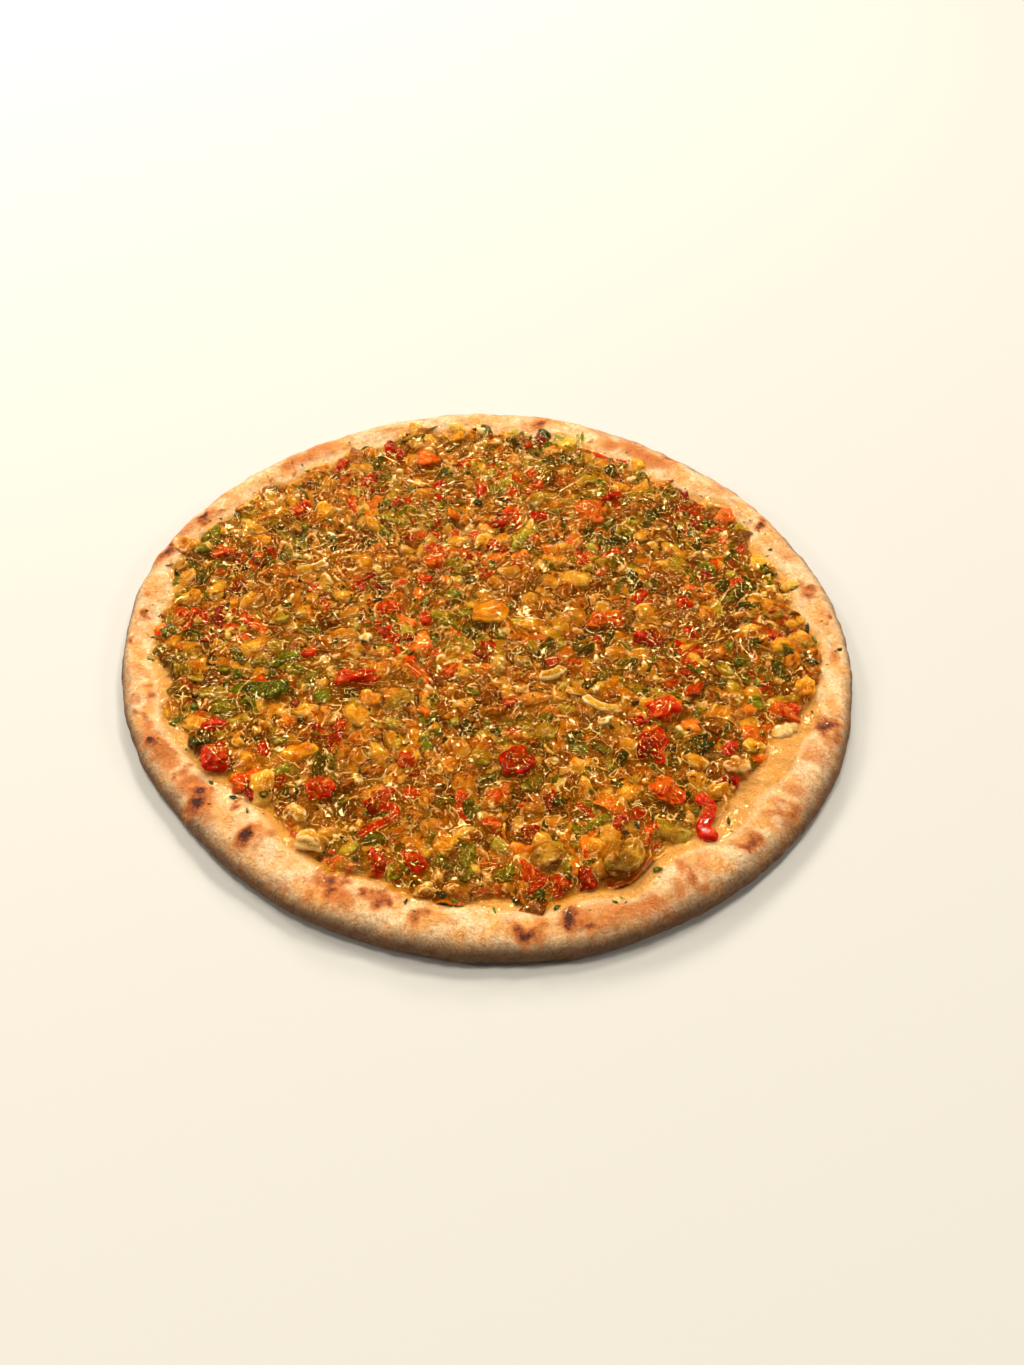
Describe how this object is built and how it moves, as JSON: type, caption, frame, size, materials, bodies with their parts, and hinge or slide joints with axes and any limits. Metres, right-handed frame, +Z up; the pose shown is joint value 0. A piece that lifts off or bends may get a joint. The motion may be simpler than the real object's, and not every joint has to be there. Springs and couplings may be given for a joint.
{
  "type": "lahmacun",
  "caption": "Thin round lahmacun: a flatbread with a puffed bare rim, spread with a wet, finely chopped topping of mince, tomato, pepper, onion and herbs.",
  "frame": {"origin": "middle of the underside, where the bread rests", "axes": "+Z up out of the topping, -Y towards the side nearest the viewer in the picture, +X to the viewer's right"},
  "size_m": [0.281, 0.2806, 0.0148],
  "materials": {
    "bread": "dry, floury baked crust, cream with brown blisters",
    "topping": "wet, oily chopped topping in an amber glaze",
    "tomato": "wet cooked tomato, red to orange",
    "green_pepper": "wet cooked green pepper",
    "red_pepper": "wet cooked red pepper",
    "onion": "wet, half clear cooked onion",
    "garlic": "wet, tan cooked garlic",
    "yellow_pepper": "wet cooked orange-yellow pepper",
    "mince": "wet browned mince"
  },
  "bodies": {
    "root": {"bread": "bread", "topping": "topping", "tomato_1": "tomato", "tomato_2": "tomato", "tomato_3": "tomato", "tomato_4": "tomato", "tomato_5": "tomato", "tomato_6": "tomato", "tomato_7": "tomato", "tomato_8": "tomato", "tomato_9": "tomato", "tomato_10": "tomato", "tomato_11": "tomato", "tomato_12": "tomato", "tomato_13": "tomato", "tomato_14": "tomato", "tomato_15": "tomato", "green_pepper_1": "green_pepper", "green_pepper_2": "green_pepper", "red_pepper_1": "red_pepper", "red_pepper_2": "red_pepper", "onion_1": "onion", "onion_2": "onion", "garlic_1": "garlic", "garlic_2": "garlic", "yellow_pepper_1": "yellow_pepper", "mince_1": "mince", "mince_2": "mince", "mince_3": "mince"}
  },
  "joints": []
}
